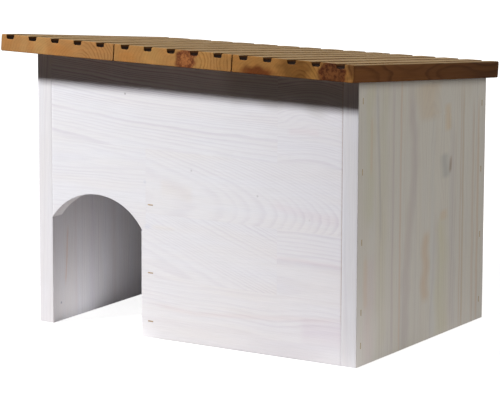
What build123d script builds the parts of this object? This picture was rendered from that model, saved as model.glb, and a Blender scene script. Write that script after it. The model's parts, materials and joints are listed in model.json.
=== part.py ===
from build123d import *
import math
import os

# Hedgehog house: glued pine panels with no floor, a low partition beside the
# entrance, and a lift-off roof of grooved boards that falls to the back.
# Sizes are in millimetres. While it is built, x starts at the outer face of
# the left wall, y at the outer face of the front wall, and z at the ground.

# Walls
outer_width = 400.0
outer_depth = 280.0
front_height = 298.0  # ground to roof boards, at the outer face of the front wall
panel = 18.0  # thickness of a glued pine panel
roof_pitch = 6.0  # degrees, falling to the back

# Entrance, cut out of the corner of the front wall beside the left wall
entrance_width = 116.5
crown_height = 149.0
arch_radius = 70.0
arch_offset = 58.0  # centre of the arch from the left wall's inner face
arch_overcut = 0.8  # nick where the saw ran past the straight edge

# Partition between the entrance corridor and the nest
partition_height = 165.0
partition_setback = 2.5  # partition face behind the edge of the entrance
rear_passage = 120.0  # way round the partition, in front of the back wall

# Roof boards, cut from ribbed decking
board_count = 3
board_width = 145.0
board_thickness = 18.0
board_gap = 1.2
board_corner = 1.4  # rounding along the long edges
overhang_left = 26.0
overhang_front = 31.5  # along the underside
overhang_back = 5.5  # along the underside

# Grooves along the top of each board
groove_count = 5
groove_start = 14.0  # first groove's centre from the board's left edge
groove_end = 15.0  # last groove's centre from the board's right edge
groove_width = 10.4
groove_floor = 8.6  # width at the bottom before it is rounded
groove_depth = 4.9
floor_rounding = 1.8
rib_rounding = 0.8

# Battens that hold the boards together and keep the roof from sliding
batten_width = 44.0
batten_thickness = 18.0
lid_clearance = 3.0  # between a batten and the walls round it

# Staples, driven almost flush
staple_crown = 6.4
staple_leg = 38.0
wire_width = 1.2
wire_thickness = 1.0
staple_stand = 0.15  # crown over the face of the wood

# Rows of staples: distances from the ground and down from the top of the panel
front_row_low = 57.0
front_row_drop = 20.0
front_row_count = 4
front_row_foot = 22.0  # one more staple near the ground
back_row_low = 22.5
back_row_drop = 28.0
back_row_count = 4
corner_row_rise = 23.0  # lowest staple over the entrance, above the arch's foot
corner_row_count = 3
partition_row_low = 18.0
partition_row_middle = 71.0
partition_row_drop = 20.0

pitch_angle = math.radians(roof_pitch)
slope = math.tan(pitch_angle)
inner_right = outer_width - panel
inner_back = outer_depth - panel
jamb = panel + entrance_width
arch_centre_height = crown_height - arch_radius
arch_foot = arch_centre_height + math.sqrt(max(arch_radius**2 - arch_offset**2, 0))
arch_reach = entrance_width + arch_overcut
arch_end = arch_centre_height + math.sqrt(max(arch_radius**2 - (arch_reach - arch_offset) ** 2, 0))
partition_left = jamb + partition_setback
partition_right = partition_left + panel
partition_back = inner_back - rear_passage
board_step = board_width + board_gap
groove_pitch = (board_width - groove_start - groove_end) / max(groove_count - 1, 1)
board_length = (overhang_front + outer_depth + overhang_back) / math.cos(pitch_angle)

# Plane of the roof's underside at the front eave, y running down to the back
eave = Plane(
    origin=(-overhang_left, -overhang_front, front_height + overhang_front * slope),
    x_dir=(1, 0, 0),
    z_dir=(0, math.sin(pitch_angle), math.cos(pitch_angle)),
)

# Middle of the roof in plan, which becomes the origin of the part
roof_width = board_count * board_step - board_gap
roof_reach = board_length * math.cos(pitch_angle) + board_thickness * math.sin(pitch_angle)
plan_middle = (roof_width / 2 - overhang_left, roof_reach / 2 - overhang_front, 0)


# Height of the roof's underside at y behind the front face
def roof_height(y):
    return front_height - slope * y


# Box between pairs of low and high values
def block(x, y, z):
    corner = Box(x[1] - x[0], y[1] - y[0], z[1] - z[0], align=(Align.MIN, Align.MIN, Align.MIN))
    return Pos(x[0], y[0], z[0]) * corner


# Upright panel over a rectangle of ground, its top planed to meet the roof
def wall(x, y):
    front_top = (y[0], roof_height(y[0]))
    back_top = (y[1], roof_height(y[1]))
    side = make_face(Polyline((y[0], 0), (y[1], 0), back_top, front_top, close=True))
    return Pos(x[0], 0, 0) * extrude(Plane.YZ * side, x[1] - x[0])


# Open corner of the front wall: straight sides under part of a circle, with a nick at its end
def entrance():
    straight = Rectangle(entrance_width, arch_end, align=(Align.MIN, Align.MIN))
    nick = arch_end - arch_overcut
    clip = Pos(0, nick) * Rectangle(arch_reach, crown_height - nick, align=(Align.MIN, Align.MIN))
    head = Pos(arch_offset, arch_centre_height) * Circle(arch_radius) & clip
    return Pos(panel, 0, 0) * extrude(Plane.XZ * (straight + head), -panel)


# Points of a face's outline that pass a test
def corners(face, test):
    return [point for point in face.vertices() if test(point.X, point.Y)]


# End view of a roof board: rounded edges, and tapered grooves along the top
def board_profile():
    face = Rectangle(board_width, board_thickness, align=(Align.MIN, Align.MIN))
    floor = board_thickness - groove_depth
    for i in range(groove_count):
        middle = groove_start + i * groove_pitch
        top_left = (middle - groove_width / 2, board_thickness)
        top_right = (middle + groove_width / 2, board_thickness)
        floor_left = (middle - groove_floor / 2, floor)
        floor_right = (middle + groove_floor / 2, floor)
        face -= make_face(Polyline(top_left, floor_left, floor_right, top_right, close=True))
    near = 0.01
    face = fillet(corners(face, lambda x, y: abs(y - floor) < near), floor_rounding)
    ribs = corners(face, lambda x, y: abs(y - board_thickness) < near < min(x, board_width - x))
    face = fillet(ribs, rib_rounding)
    return fillet(corners(face, lambda x, y: min(x, board_width - x) < near), board_corner)


# Batten across the underside of the roof, from y to y plus its width down the slope
def batten(y):
    low = overhang_left + panel + lid_clearance
    high = overhang_left + inner_right - lid_clearance
    return eave.location * block((low, high), (y, y + batten_width), (-batten_thickness, 0))


# Staple driven into a face, its crown along a direction
def staple(place, along, outward):
    half = staple_crown / 2
    across = (-wire_width / 2, wire_width / 2)
    foot = staple_stand - staple_leg
    under = staple_stand - wire_thickness
    crown = block((-half, half), across, (under, staple_stand))
    left_leg = block((-half, wire_thickness - half), across, (foot, under))
    right_leg = block((half - wire_thickness, half), across, (foot, under))
    return Plane(origin=place, x_dir=along, z_dir=outward).location * (crown + left_leg + right_leg)


# Heights spaced evenly from the lowest to the highest
def spaced(low, high, count):
    return [low + (high - low) * i / max(count - 1, 1) for i in range(count)]


front_row_y = panel / 2
back_row_y = outer_depth - panel / 2
front_top = roof_height(front_row_y) - front_row_drop
back_top = roof_height(back_row_y) - back_row_drop
front_row = [front_row_foot] + spaced(front_row_low, front_top, front_row_count)
corner_row = spaced(arch_foot + corner_row_rise, front_top, corner_row_count)
back_row = spaced(back_row_low, back_top, back_row_count)
partition_row = [partition_row_low, partition_row_middle, partition_height - partition_row_drop]
partition_middle = (partition_left + partition_right) / 2

# Each row: the points of its staples, the way they face, and the way their crowns lie
up = (0, 0, 1)
right = (1, 0, 0)
left = (-1, 0, 0)
forward = (0, -1, 0)
rows = {
    "staples_right_front": ([(outer_width, front_row_y, z) for z in front_row], right, up),
    "staples_right_back": ([(outer_width, back_row_y, z) for z in back_row], right, up),
    "staples_left_front": ([(0, front_row_y, z) for z in corner_row], left, up),
    "staples_left_back": ([(0, back_row_y, z) for z in back_row], left, up),
    "staples_partition": ([(partition_middle, 0, z) for z in partition_row], forward, right),
}

parts = {
    "left_wall": wall((0, panel), (0, outer_depth)),
    "right_wall": wall((inner_right, outer_width), (0, outer_depth)),
    "front_wall": wall((panel, inner_right), (0, panel)) - entrance(),
    "back_wall": wall((panel, inner_right), (inner_back, outer_depth)),
    "partition": block((partition_left, partition_right), (panel, partition_back), (0, partition_height)),
}

# Each row of staples passes through the first panel into the one behind it
stapled = {
    "staples_right_front": ("right_wall", "front_wall"),
    "staples_right_back": ("right_wall", "back_wall"),
    "staples_left_front": ("left_wall", "front_wall"),
    "staples_left_back": ("left_wall", "back_wall"),
    "staples_partition": ("front_wall", "partition"),
}
for name, (points, outward, along) in rows.items():
    made = [staple(point, along, outward) for point in points]
    parts[name] = Compound(children=made)
    for panel_name in stapled[name]:
        for wire in made:
            parts[panel_name] -= wire

# Roof boards side by side, numbered from the left
profile = board_profile()
board_names = ["roof_board_left", "roof_board_middle", "roof_board_right"]
for i in range(board_count):
    board = extrude(Plane.XZ * profile, -board_length)
    parts[board_names[i]] = eave.location * Pos(i * board_step, 0, 0) * board

# The battens' nearest corners keep the clearance from the front and back walls
lean = batten_thickness * math.sin(pitch_angle)
front_batten = (overhang_front + panel + lid_clearance + lean) / math.cos(pitch_angle)
back_batten = (overhang_front + inner_back - lid_clearance) / math.cos(pitch_angle) - batten_width
parts["roof_batten_front"] = batten(front_batten)
parts["roof_batten_back"] = batten(back_batten)

os.makedirs("parts", exist_ok=True)
for name, shape in parts.items():
    moved = Pos(-plan_middle[0], -plan_middle[1], 0) * shape
    export_step(moved, "parts/" + name + ".step")
    print(name, len(moved.solids()), round(moved.volume))
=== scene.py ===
import json
import math
import bpy
import numpy as np
from mathutils import Matrix, Vector


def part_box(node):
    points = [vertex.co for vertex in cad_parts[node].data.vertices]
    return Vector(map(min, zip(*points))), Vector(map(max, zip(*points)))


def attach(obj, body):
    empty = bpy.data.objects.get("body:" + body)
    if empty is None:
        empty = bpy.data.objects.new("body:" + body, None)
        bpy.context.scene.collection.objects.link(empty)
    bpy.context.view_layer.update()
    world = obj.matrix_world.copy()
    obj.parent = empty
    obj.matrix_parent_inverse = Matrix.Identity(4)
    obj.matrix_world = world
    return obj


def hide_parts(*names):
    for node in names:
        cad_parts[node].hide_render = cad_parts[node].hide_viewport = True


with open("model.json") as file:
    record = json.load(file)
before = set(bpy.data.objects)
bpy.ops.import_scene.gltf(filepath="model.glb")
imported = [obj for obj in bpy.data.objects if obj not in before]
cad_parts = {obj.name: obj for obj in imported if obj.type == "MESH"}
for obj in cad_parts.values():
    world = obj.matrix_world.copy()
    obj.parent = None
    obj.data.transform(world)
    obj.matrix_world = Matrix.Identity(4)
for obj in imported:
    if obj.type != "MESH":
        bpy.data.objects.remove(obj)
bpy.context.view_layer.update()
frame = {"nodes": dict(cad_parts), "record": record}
homeCorner = np.array(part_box("left_wall")[0])  # outer front corner of the left wall, on the ground

# Sizes that the pieces share, in millimetres from that corner: x to the right, y to the back, z up
houseValues = {
    "width": 400.0,
    "depth": 280.0,
    "frontHeight": 298.0,
    "panel": 18.0,
    "panelLayers": 7,  # rings of points through a panel's thickness, besides its rounded edges
    "sharpAngle": 40.0,  # degrees by which two faces turn where their edge stays sharp
    "pitch": 6.0,  # degrees that the roof falls to the back
    "twist": 4.5,  # the roof's left back corner lies this much lower than the plane of the rest
}
slope = math.tan(math.radians(houseValues["pitch"]))
panel = houseValues["panel"]
innerRight = houseValues["width"] - panel
backTop = houseValues["frontHeight"] - slope * houseValues["depth"]  # top of the back wall's outer face


# Point of the house in metres, in the part's frame
def place(x, y, z):
    return Vector(homeCorner) + Vector((x, y, z)) / 1000


# Twist of the roof: it sinks in step with the distance from the right side and from the front
def roofSink(x, y):
    fromRight = 1 - x / houseValues["width"]
    return houseValues["twist"] * fromRight * np.clip(y, 0, None) / houseValues["depth"]


# The camera stands where the photo was taken from
cameraValues = {
    "position": (1862.9, -2564.5, 733.4),
    "yaw": 31.832,  # degrees, turned to the left
    "pitch": 10.699,  # degrees, tilted down
    "roll": 0.218,
    "lens": 212.32,
    "sensor": 36.0,
    "farthest": 20.0,  # metres that the camera sees
}


def makeCamera():
    data = bpy.data.cameras.new("camera")
    data.sensor_width = cameraValues["sensor"]
    data.lens = cameraValues["lens"]
    data.clip_end = cameraValues["farthest"]
    camera = bpy.data.objects.new("camera", data)
    bpy.context.scene.collection.objects.link(camera)
    yaw, pitch, roll = (math.radians(cameraValues[name]) for name in ("yaw", "pitch", "roll"))
    forward = Vector((-math.sin(yaw) * math.cos(pitch), math.cos(yaw) * math.cos(pitch), -math.sin(pitch)))
    sideways = Vector((math.cos(yaw), math.sin(yaw), 0))
    above = sideways.cross(forward)
    right = sideways * math.cos(roll) + above * math.sin(roll)
    up = above * math.cos(roll) - sideways * math.sin(roll)
    turned = Matrix((right, up, -forward)).transposed().to_4x4()
    camera.matrix_world = Matrix.Translation(place(*cameraValues["position"])) @ turned
    bpy.context.scene.camera = camera


makeCamera()
bpy.context.scene.view_settings.view_transform = "Standard"
print("camera placed")


# Grid of quads in a plane: two parameters run over us and vs, and shape turns them into points
def gridOfQuads(us, vs, shape):
    u, v = np.meshgrid(us, vs, indexing="ij")
    points = np.stack(np.broadcast_arrays(*shape(u, v)), -1).reshape(-1, 2)
    index = np.arange(u.size).reshape(u.shape)
    quads = np.stack([index[:-1, :-1], index[1:, :-1], index[1:, 1:], index[:-1, 1:]], -1)
    return points, quads.reshape(-1, 4)


# One mesh from grids that meet: points at the same place become one
def joinGrids(grids):
    starts = np.cumsum([0] + [len(grid[0]) for grid in grids[:-1]])
    points = np.concatenate([grid[0] for grid in grids])
    quads = np.concatenate([grid[1] + start for grid, start in zip(grids, starts)])
    first, back = np.unique(np.round(points, 3), axis=0, return_index=True, return_inverse=True)[1:]
    return points[first], back.reshape(-1)[quads]


# Flat mesh carried along a depth. Near both ends its rim follows a quarter circle, so that all edges
# are rounded: at an angle it is drawn in by radius times one minus the sine, and lies radius times
# one minus the cosine deep. Returns points as (first, second, depth) and faces that point outwards.
def slab(points, quads, depths, rounding):
    edges = np.concatenate([quads[:, [i, (i + 1) % 4]] for i in range(4)])
    size = len(points)
    rim = edges[~np.isin(edges[:, 0] * size + edges[:, 1], edges[:, 1] * size + edges[:, 0])]
    following = np.zeros(size, int)
    leading = np.zeros(size, int)
    following[rim[:, 0]] = rim[:, 1]
    leading[rim[:, 1]] = rim[:, 0]
    ring = rim[:, 0]

    def outward(fromPoint, toPoint):
        step = points[toPoint] - points[fromPoint]
        step /= np.linalg.norm(step, axis=1)[:, None]
        return np.stack([step[:, 1], -step[:, 0]], 1)

    before = outward(leading[ring], ring)
    after = outward(ring, following[ring])
    push = (before + after) / (1 + np.sum(before * after, 1))[:, None]
    arcPoints = 4
    turn = np.linspace(0, math.pi / 2, arcPoints)
    rise = rounding * (1 - np.cos(turn))
    inset = rounding * (1 - np.sin(turn))
    clear = 1.5 * rounding
    middle = depths[(depths > depths[0] + clear) & (depths < depths[-1] - clear)]
    layerDepth = np.concatenate([depths[0] + rise, middle, depths[-1] - rise[::-1]])
    layerInset = np.concatenate([inset, np.zeros(len(middle)), inset[::-1]])
    cap = points.copy()
    cap[ring] -= push * rounding
    first = np.column_stack([cap, np.full(size, depths[0])])
    last = np.column_stack([cap, np.full(size, depths[-1])])
    inner = points[ring][None] - push[None] * layerInset[1:-1, None, None]
    innerDepth = np.broadcast_to(layerDepth[1:-1, None, None], inner.shape[:2] + (1,))
    inner = np.concatenate([inner, innerDepth], 2)
    layers, around = inner.shape[:2]
    allPoints = np.concatenate([first, last, inner.reshape(-1, 3)])
    order = np.zeros(size, int)
    order[ring] = np.arange(around)
    rows = 2 * size + np.arange(layers)[:, None] * around + np.arange(around)[None]
    rows = np.concatenate([ring[None], rows, size + ring[None]])
    nextRows = rows[:, order[following[ring]]]
    sides = np.stack([nextRows[:-1], rows[:-1], rows[1:], nextRows[1:]], -1).reshape(-1, 4)
    return allPoints, np.concatenate([quads, quads[:, ::-1] + size, sides])


# Smooth noise between about -1 and 1: twice the mean of sine waves in seeded directions, 0.6 to
# 1.7 times as long as asked for
def drift(seed, wavelength, *coordinates):
    numbers = np.random.default_rng(seed)
    waveCount = 7
    total = 0
    for i in range(waveCount):
        direction = numbers.normal(size=len(coordinates))
        direction /= np.linalg.norm(direction) * wavelength * numbers.uniform(0.6, 1.7)
        waves = sum(c * d for c, d in zip(coordinates, direction))
        total = total + np.sin(2 * math.pi * (waves + numbers.uniform()))
    return total * 2 / waveCount


# Grain of all staves, in millimetres
grainValues = {
    "wobbleLength": 110.0,
    "knotStretch": 1.7,  # a knot draws the grain this much farther along it than across
    "uneven": ((0.5, 0.9), (0.3, 0.37)),  # waves that shift the rings: by how many, and their pace
    # Steps from one stave's ring count and place in the grain to the next one's, so that all differ
    "ringsApart": 40,
    "grainApart": (370.0, 210.0, 90.0),
}

# A stave unless its own values say otherwise: how strongly its lines show, the rise of its rings along
# the grain, how far they wobble, its tone, and no knots, bumps or noses
plainStave = {
    "lines": 0.9,
    "taper": 0.02,
    "wobble": 0.8,
    "tone": (1, 1, 1),
    "knots": (),
    "bumps": (),
    "noses": (),
}


# Growth rings of one stave. The distance from the pith line, which runs at a depth behind the face
# and may slope and sag, plus the taper of the trunk along the grain, is counted in ring widths, with
# two sine waves that make the rings uneven. Round a knot the grain spreads, because places near it
# are drawn towards it first. Where noses are given, the count is read off between them instead.
def ringCount(stave, along, across, depth):
    v = grainValues
    start, level, rise, sag = stave["ridge"]
    reach = (along - start) / 100
    pith = level + rise * reach + sag * reach**2
    bent = across + stave["wobble"] * drift(stave["seed"], v["wobbleLength"], along, across * 2.5, depth * 2)
    for knotAlong, knotAcross, radius, push in stave["knots"]:
        away = ((along - knotAlong) / v["knotStretch"]) ** 2 + (across - knotAcross) ** 2
        near = np.exp(-away / (2 * radius**2))
        bent = knotAcross + (bent - knotAcross) * (1 - push * near)
    for bumpAlong, reachAlong, height in stave["bumps"]:
        bent = bent - height * np.exp(-(((along - bumpAlong) / reachAlong) ** 2) / 2)
    ring = np.hypot(bent - pith, stave["pithDepth"] - depth) + stave["taper"] * (along - start)
    if stave["noses"]:
        lines = stave["pithDepth"] + stave["taper"] * (np.array(stave["noses"]) - start)
        return np.interp(ring, lines, np.arange(len(lines), dtype=float))
    count = ring / stave["ringWidth"]
    (shift, pace), (slowShift, slowPace) = v["uneven"]
    return count + shift * np.sin(count * pace + stave["seed"]) + slowShift * np.sin(count * slowPace)


# Edges of all stains and painted shade: shares of the half width, of the length, and millimetres
stainAndShadeValues = {
    "reach": 1.5,  # a stain is gone this many half widths from its middle line
    "wander": 0.25,
    "wanderLength": 45.0,
    "endShare": 0.12,
    "shortestEnd": 4.0,
}


# Colour that streaks, blotches and painted shade lay over a face. A stain is the points of its middle line,
# as along and across, its half width, colour and strength. Its strength is one minus the square of the
# distance from that line over its reach, to the power of one and a half, and fades towards its two ends.
def stainAndShadeColour(stains, along, across):
    v = stainAndShadeValues
    colour = np.ones(along.shape + (3,))
    for line, halfWidth, paint, strength in stains:
        line = np.array(line, float)
        middle = np.interp(along, line[:, 0], line[:, 1])
        seed = int(line[0, 1] * 7) + 3
        wander = halfWidth * v["wander"] * drift(seed, v["wanderLength"], along, across)
        aside = (across - middle + wander) / (halfWidth * v["reach"])
        side = np.clip(1 - aside**2, 0, 1) ** 1.5
        start, end = line[0, 0], line[-1, 0]
        fade = max(v["shortestEnd"], v["endShare"] * (end - start))
        begins = np.clip((along - start) / fade + 0.5, 0, 1)
        ceases = np.clip((end - along) / fade + 0.5, 0, 1)
        amount = (strength * side * begins * ceases)[..., None]
        colour = colour * (1 - amount) + colour * amount * np.array(paint)
    return colour


# Wood of every face corner: its place in the stave along the grain, across and deep, its ring count,
# how strongly rings show, the colour of stains and painted shade, and the distance to the stave's edge.
# A face belongs to the first stave whose area holds its middle.
def woodAttributes(corners, values):
    first, second, depth = corners[..., 0], corners[..., 1], corners[..., 2]
    along, across = (second, first) if values["grain"] == "second" else (first, second)
    centreFirst, centreSecond = first.mean(1), second.mean(1)
    chosen = np.full(len(corners), len(values["staves"]) - 1)
    for i in reversed(range(len(values["staves"]))):
        left, right, low, high = values["staves"][i]["area"]
        inside = (centreFirst >= left) & (centreFirst <= right)
        inside &= (centreSecond >= low) & (centreSecond <= high)
        chosen[inside] = i
    ring = np.zeros(first.shape)
    shift = np.zeros(first.shape + (3,))
    strength = np.zeros(first.shape)
    edge = np.zeros(first.shape)
    tone = np.ones(first.shape + (3,))
    for i, stave in enumerate(values["staves"]):
        mine = chosen == i
        stave = {**plainStave, "seed": values["seed"] + 13 * i, **stave}
        ring[mine] = ringCount(stave, along[mine], across[mine], depth[mine]) + grainValues["ringsApart"] * i
        shift[mine] = np.array(grainValues["grainApart"]) * i + (values["seed"], 0, 0)
        strength[mine] = stave["lines"]
        tone[mine] = stave["tone"]
        left, right, low, high = stave["area"]
        gaps = [first[mine] - left, right - first[mine], second[mine] - low, high - second[mine]]
        edge[mine] = np.min(gaps, 0)
    # Painted shade: where its values give a fall, a panel darkens across its first axis
    if "fall" in values:
        start, end, paint = values["fall"]
        share = np.clip((first - start) / (end - start), 0, 1)[..., None]
        tone = tone * (1 - share + share * np.array(paint))
    stainAndShade = stainAndShadeColour(values.get("stains", ()), along, across)
    backStain = stainAndShadeColour(values.get("backStains", ()), along, across)
    behind = (depth > panel / 2)[..., None]
    return {
        "ring": ring,
        "grain": np.stack([along, across, depth], -1) + shift,
        "lines": strength,
        "stainAndShade": np.where(behind, backStain, stainAndShade) * tone,
        "edge": edge,
    }


# Mesh object in place of a CAD node. It stands at the origin, and its faces are turned round if its
# signed volume is negative.
def makePiece(name, points, faces, corners, finish, node):
    a, b, c, d = (points[faces[:, i]] for i in range(4))
    volume = np.sum(a * np.cross(b, c)) + np.sum(a * np.cross(c, d))
    if volume < 0:
        faces = faces[:, ::-1]
        corners = {key: value[:, ::-1] for key, value in corners.items()}
    mesh = bpy.data.meshes.new(name)
    mesh.from_pydata((homeCorner + points / 1000).tolist(), [], faces.tolist())
    for key, value in corners.items():
        kind, field = ("FLOAT", "value") if value.ndim == 2 else ("FLOAT_VECTOR", "vector")
        layer = mesh.attributes.new(key, kind, "CORNER")
        layer.data.foreach_set(field, np.ascontiguousarray(value, np.float32).ravel())
    mesh.shade_smooth()
    mesh.set_sharp_from_angle(angle=math.radians(houseValues["sharpAngle"]))
    mesh.materials.append(finish)
    piece = bpy.data.objects.new(name, mesh)
    bpy.context.scene.collection.objects.link(piece)
    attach(piece, "root")
    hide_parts(node)


# Glazed panel from a flat mesh: toHouse turns first, second and depth into x, y and z
def makePanel(name, flat, values, toHouse, node):
    depths = np.linspace(0, panel, houseValues["panelLayers"])
    points, faces = slab(*flat, depths, values["rounding"])
    corners = woodAttributes(points[faces], values)
    house = np.stack(np.broadcast_arrays(*toHouse(*points.T)), -1)
    makePiece(name, house, faces, corners, glazedPine, node)


# Values about a step apart that include every fixed one, evenly spaced between them
def spread(fixed, step):
    counts = [max(2, round((b - a) / step) + 1) for a, b in zip(fixed, fixed[1:])]
    runs = [np.linspace(a, b, count)[:-1] for a, b, count in zip(fixed, fixed[1:], counts)]
    return np.concatenate(runs + [[fixed[-1]]])


# Shader nodes of one finish, with short calls for the usual ones
class Finish:
    def __init__(self, name):
        self.material = bpy.data.materials.new(name)
        self.material.use_nodes = True
        self.tree = self.material.node_tree
        self.shader = self.tree.nodes["Principled BSDF"]

    def node(self, kind, values=None, **settings):
        made = self.tree.nodes.new(kind)
        for key, value in settings.items():
            setattr(made, key, value)
        for key, value in (values or {}).items():
            self.give(made.inputs[key], value)
        return made

    def give(self, socket, value):
        if isinstance(value, bpy.types.NodeSocket):
            self.tree.links.new(value, socket)
        elif hasattr(value, "__len__") and len(value) == 3 and len(socket.default_value) == 4:
            socket.default_value = (*value, 1)
        else:
            socket.default_value = value

    def math(self, operation, a, b=0.0, c=0.0):
        return self.node("ShaderNodeMath", {0: a, 1: b, 2: c}, operation=operation).outputs[0]

    def times(self, *factors):
        product = factors[0]
        for factor in factors[1:]:
            product = self.math("MULTIPLY", product, factor)
        return product

    # Object coordinates, in metres
    def here(self):
        return self.node("ShaderNodeTexCoord").outputs["Object"]

    # A place's x, y or z in the house, in millimetres
    def houseAxis(self, axis):
        parts = self.node("ShaderNodeSeparateXYZ", {0: self.here()}).outputs
        return self.times(self.math("SUBTRACT", parts[axis], float(homeCorner[axis])), 1000.0)

    def attribute(self, name, output="Fac"):
        return self.node("ShaderNodeAttribute", attribute_name=name).outputs[output]

    # Noise of a vector that is first scaled by its three parts
    def noise(self, vector, scale, detail=3.0, rough=0.55):
        scaled = self.node("ShaderNodeVectorMath", {0: vector, 1: scale}, operation="MULTIPLY").outputs[0]
        inputs = {"Vector": scaled, "Scale": 1.0, "Detail": detail, "Roughness": rough}
        return self.node("ShaderNodeTexNoise", inputs).outputs["Fac"]

    # Straight change of range, held at its ends
    def fit(self, value, low, high, newLow=0.0, newHigh=1.0):
        inputs = {0: value, 1: low, 2: high, 3: newLow, 4: newHigh}
        return self.node("ShaderNodeMapRange", inputs).outputs[0]

    # Noise fitted to a range: settings are what noise takes, then what fit takes
    def pattern(self, vector, settings):
        return self.fit(self.noise(vector, *settings[0]), *settings[1])

    # A random number for each whole number
    def random(self, value):
        whole = {"W": self.math("FLOOR", value)}
        return self.node("ShaderNodeTexWhiteNoise", whole, noise_dimensions="1D").outputs["Value"]

    def mix(self, amount, a, b, blend="MIX"):
        made = self.node("ShaderNodeMix", data_type="RGBA", blend_type=blend)
        self.give(made.inputs["Factor"], amount)
        self.give(made.inputs[6], a)
        self.give(made.inputs[7], b)
        return made.outputs[2]

    # Colour made darker or lighter by a level
    def shade(self, colour, level):
        grey = self.node("ShaderNodeCombineColor", {0: level, 1: level, 2: level}).outputs[0]
        return self.mix(1.0, colour, grey, "MULTIPLY")

    def ramp(self, value, stops):
        made = self.node("ShaderNodeValToRGB", {"Fac": value})
        ramp = made.color_ramp
        while len(ramp.elements) < len(stops):
            ramp.elements.new(0.5)
        for element, (position, level) in zip(ramp.elements, stops):
            element.position = position
            element.color = (level, level, level, 1)
        return made.outputs["Color"]

    # Closeness to a point of the house: 0 beyond a radius in millimetres, 1 in the core of that circle
    def spot(self, where, radius, core=0.4):
        ends = {0: self.here(), 1: place(*where)}
        distance = self.node("ShaderNodeVectorMath", ends, operation="DISTANCE").outputs["Value"]
        return self.fit(distance, radius / 1000, core * radius / 1000)

    # Surface of the finish: its colour, roughness and sheen, and a relief some metres high
    def surface(self, colour, roughness, sheen, height=None, strength=0.0, distance=0.0):
        inputs = {"Base Color": colour, "Roughness": roughness, "Specular IOR Level": sheen}
        if height is not None:
            relief = {"Height": height, "Strength": strength, "Distance": distance}
            inputs["Normal"] = self.node("ShaderNodeBump", relief).outputs[0]
        for name, value in inputs.items():
            self.give(self.shader.inputs[name], value)
        return self.material


# Patterns are noise's scale along the grain, across it and deep, in turns per millimetre, its detail and
# roughness, and then the range that it is fitted from and to
glazeValues = {
    "glaze": (0.80, 0.805, 0.85),
    "thin": (0.805, 0.795, 0.815),  # where the glaze is thin
    "thinPlaces": (((0.007, 0.045, 0.045), 3), (0.35, 0.7)),
    "line": (0.58, 0.54, 0.63),  # latewood under the glaze
    "lineStrength": 0.52,
    "lineWander": (((0.02, 0.15, 0.15), 2), 0.5),  # noise and how many rings it shifts a line by
    "linePlaces": (((0.006, 0.05, 0.05), 2), (0.3, 0.7, 0.35, 1.0)),
    "lineVariety": (0, 1, 0.4, 0.9),  # how strong the rings are, each by a random number
    # One ring from its start to the next one: place and darkness
    "ring": [(0.0, 0.25), (0.1, 0.0), (0.45, 0.12), (0.8, 1.0), (0.93, 0.75), (1.0, 0.25)],
    "eaveShadowGrain": (262.0, 270.0, 4.0),  # from and to these heights the front's rings get this much stronger, painted shade in the eave's shadow
    "fibre": ((0.03, 1.1, 1.1), 5, 0.65),
    "fibreShade": (0.25, 0.75, 0.93, 1.035),
    "flecks": (((0.10, 3.2, 3.2), 2, 0.5), (0.62, 0.78, 0.0, 0.0875)),
    "roughness": (0.3, 0.7, 0.70, 0.56),  # by the fibre
    "sheen": 0.05,
    "relief": (0.6, 0.00006),  # strength, and height in metres
    "reliefShares": (0.7, 0.5),  # of the fibre and of the rings
    "joint": (0.0, 0.7, 0.03, 0.0),  # strength of a glued joint, by the distance from it
    "jointColour": (0.62, 0.56, 0.58),
    # Resin dots: middle, radius, colour and strength
    "dots": [
        ((114, 0, 262), 1.5, (0.35, 0.34, 0.36), 0.75),
        ((198, 0, 187), 1.6, (0.50, 0.48, 0.52), 0.55),
        ((280, 0, 168), 1.6, (0.50, 0.48, 0.52), 0.6),
        ((343, 0, 149), 1.3, (0.50, 0.48, 0.50), 0.4),
        ((139, 0, 169), 2.6, (0.60, 0.62, 0.70), 0.4),
        ((18, 15, 20), 1.8, (0.36, 0.37, 0.46), 0.8),
    ],
}

# Fine dark line where the front wall meets the right wall's edge: bare wood and the painted shade of the gap
# between them
seamValues = {
    "x": 381.4,
    "halfWidth": (0.7, 0.2),  # it fades between these distances from its middle
    "from": (38.0, 52.0),  # heights between which it begins
    "breaks": (((0.05, 0.05, 0.05), 2), (0.3, 0.6, 0.4, 0.5)),
    "colour": (0.48, 0.37, 0.32),
}


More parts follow.
